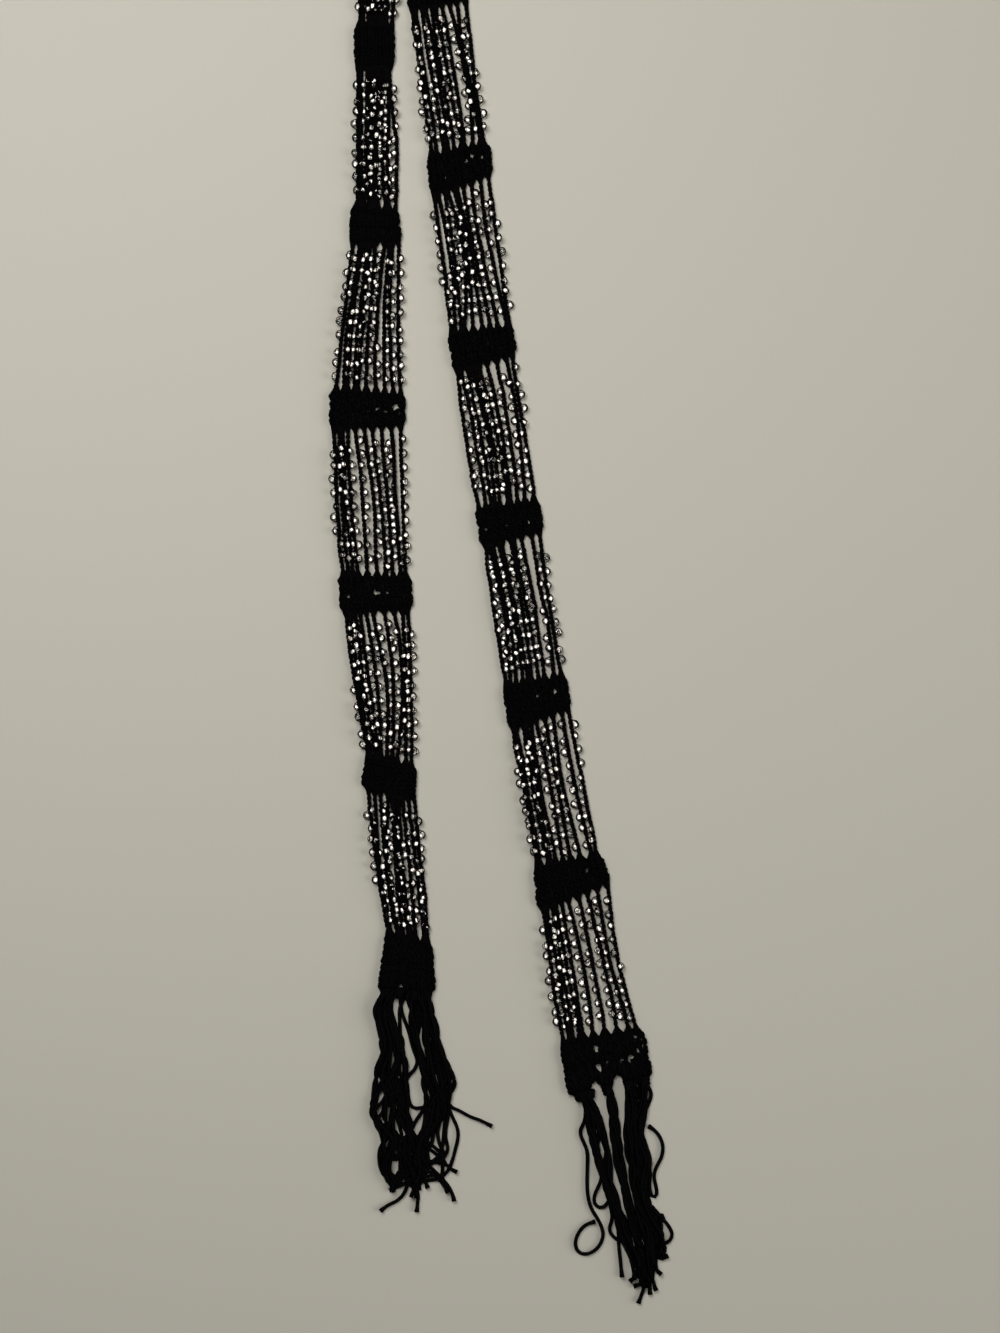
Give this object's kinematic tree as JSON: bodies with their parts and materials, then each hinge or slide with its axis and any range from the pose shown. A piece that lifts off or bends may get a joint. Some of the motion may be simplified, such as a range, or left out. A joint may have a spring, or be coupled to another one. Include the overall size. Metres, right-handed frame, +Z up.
{
  "type": "beaded fringe scarf",
  "caption": "Long narrow crocheted scarf, folded in half and laid flat: solid bands joined by open panels of beaded cords, with a knotted fringe at each end.",
  "frame": {"origin": "on the surface it lies on, under the middle of the whole scarf's box", "axes": "+Y along the folded scarf, away from the fringes; +X to the right; +Z up from the surface"},
  "size_m": [0.168, 0.864, 0.0086],
  "materials": {
    "band_yarn": "crocheted black viscose yarn",
    "cord_yarn": "chain-stitched black viscose cord",
    "fringe_yarn": "twisted black viscose yarn",
    "glass_bead": "clear polished glass"
  },
  "bodies": {
    "root": {"band_01": "band_yarn", "band_02": "band_yarn", "band_03": "band_yarn", "band_04": "band_yarn", "band_05": "band_yarn", "band_06": "band_yarn", "band_07": "band_yarn", "band_08": "band_yarn", "band_09": "band_yarn", "band_10": "band_yarn", "band_11": "band_yarn", "band_12": "band_yarn", "band_13": "band_yarn", "band_14": "band_yarn", "band_15": "band_yarn", "band_16": "band_yarn", "band_17": "band_yarn", "beaded_panel_01": "cord_yarn", "beaded_panel_02": "cord_yarn", "beaded_panel_03": "cord_yarn", "beaded_panel_04": "cord_yarn", "beaded_panel_05": "cord_yarn", "beaded_panel_06": "cord_yarn", "beaded_panel_07": "cord_yarn", "beaded_panel_08": "cord_yarn", "beaded_panel_09": "cord_yarn", "beaded_panel_10": "cord_yarn", "beaded_panel_11": "cord_yarn", "beaded_panel_12": "cord_yarn", "beaded_panel_13": "cord_yarn", "beaded_panel_14": "cord_yarn", "beaded_panel_15": "cord_yarn", "beaded_panel_16": "cord_yarn", "fringe_left_tuft_1": "fringe_yarn", "fringe_left_tuft_2": "fringe_yarn", "fringe_left_tuft_3": "fringe_yarn", "fringe_left_tuft_4": "fringe_yarn", "fringe_right_tuft_1": "fringe_yarn", "fringe_right_tuft_2": "fringe_yarn", "fringe_right_tuft_3": "fringe_yarn", "fringe_right_tuft_4": "fringe_yarn"}
  },
  "joints": []
}
